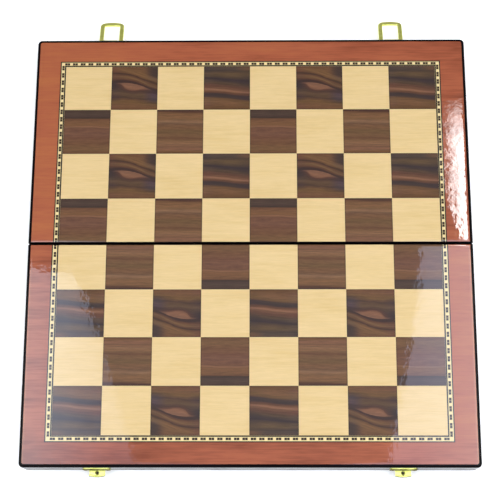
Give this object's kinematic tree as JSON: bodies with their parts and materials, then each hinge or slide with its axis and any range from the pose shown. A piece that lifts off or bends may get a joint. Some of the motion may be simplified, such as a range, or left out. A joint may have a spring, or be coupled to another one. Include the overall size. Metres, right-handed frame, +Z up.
{
  "type": "folding chess case",
  "caption": "Folding chess case opened flat as a chessboard: two lacquered half boxes hinged at the fold, with draw latches and hooks that lock it shut.",
  "frame": {"origin": "middle of the open case, latches included, on the surface that it stands on", "axes": "+Z up from that surface, +Y across the fold towards the half with the latches, +X along the fold"},
  "size_m": [0.3, 0.3246, 0.024],
  "materials": {
    "black_lacquer": "high-gloss black lacquer over fibreboard",
    "printed_veneer": "printed wood grain under clear gloss lacquer",
    "felt": "short dense felt",
    "polished_brass": "polished brass plate",
    "brass_fastener": "brass-plated"
  },
  "bodies": {
    "near_half": {"hinge_leaf_near_left": "polished_brass", "hinge_leaf_near_right": "polished_brass", "keeper_left": "polished_brass", "keeper_nails": "brass_fastener", "keeper_right": "polished_brass", "near_board_panel": "black_lacquer", "near_hinge_screws": "brass_fastener", "near_hinge_wall": "black_lacquer", "near_left_wall": "black_lacquer", "near_lining": "felt", "near_outer_wall": "black_lacquer", "near_printed_face": "printed_veneer", "near_right_wall": "black_lacquer"},
    "far_half": {"far_board_panel": "black_lacquer", "far_hinge_screws": "brass_fastener", "far_hinge_wall": "black_lacquer", "far_left_wall": "black_lacquer", "far_lining": "felt", "far_outer_wall": "black_lacquer", "far_printed_face": "printed_veneer", "far_right_wall": "black_lacquer", "hinge_leaf_far_left": "polished_brass", "hinge_leaf_far_right": "polished_brass", "hinge_pin_left": "brass_fastener", "hinge_pin_right": "brass_fastener", "latch_base_left": "polished_brass", "latch_base_right": "polished_brass", "latch_nails": "brass_fastener", "lever_pin_left": "brass_fastener", "lever_pin_right": "brass_fastener"},
    "lever_left": {"latch_lever_left": "polished_brass"},
    "lever_right": {"latch_lever_right": "polished_brass"},
    "bail_left": {"latch_bail_left": "polished_brass"},
    "bail_right": {"latch_bail_right": "polished_brass"}
  },
  "joints": [
    {"name": "fold_hinge", "type": "hinge", "parent": "near_half", "child": "far_half", "pos_m": [0, -0.00838, 0.002], "axis": [-1, 0, 0], "range_deg": [-1.67, 178.34]},
    {"name": "lever_left_pivot", "type": "hinge", "parent": "far_half", "child": "lever_left", "pos_m": [-0.1, 0.14339, 0.0052], "axis": [-1, 0, 0], "range_deg": [0, 100]},
    {"name": "bail_left_pivot", "type": "hinge", "parent": "lever_left", "child": "bail_left", "pos_m": [-0.1, 0.14263, 0.00821], "axis": [1, 0, 0], "range_deg": [-68.46, 100]},
    {"name": "lever_right_pivot", "type": "hinge", "parent": "far_half", "child": "lever_right", "pos_m": [0.1, 0.14339, 0.0052], "axis": [-1, 0, 0], "range_deg": [0, 100]},
    {"name": "bail_right_pivot", "type": "hinge", "parent": "lever_right", "child": "bail_right", "pos_m": [0.1, 0.14263, 0.00821], "axis": [1, 0, 0], "range_deg": [-68.46, 100]}
  ]
}
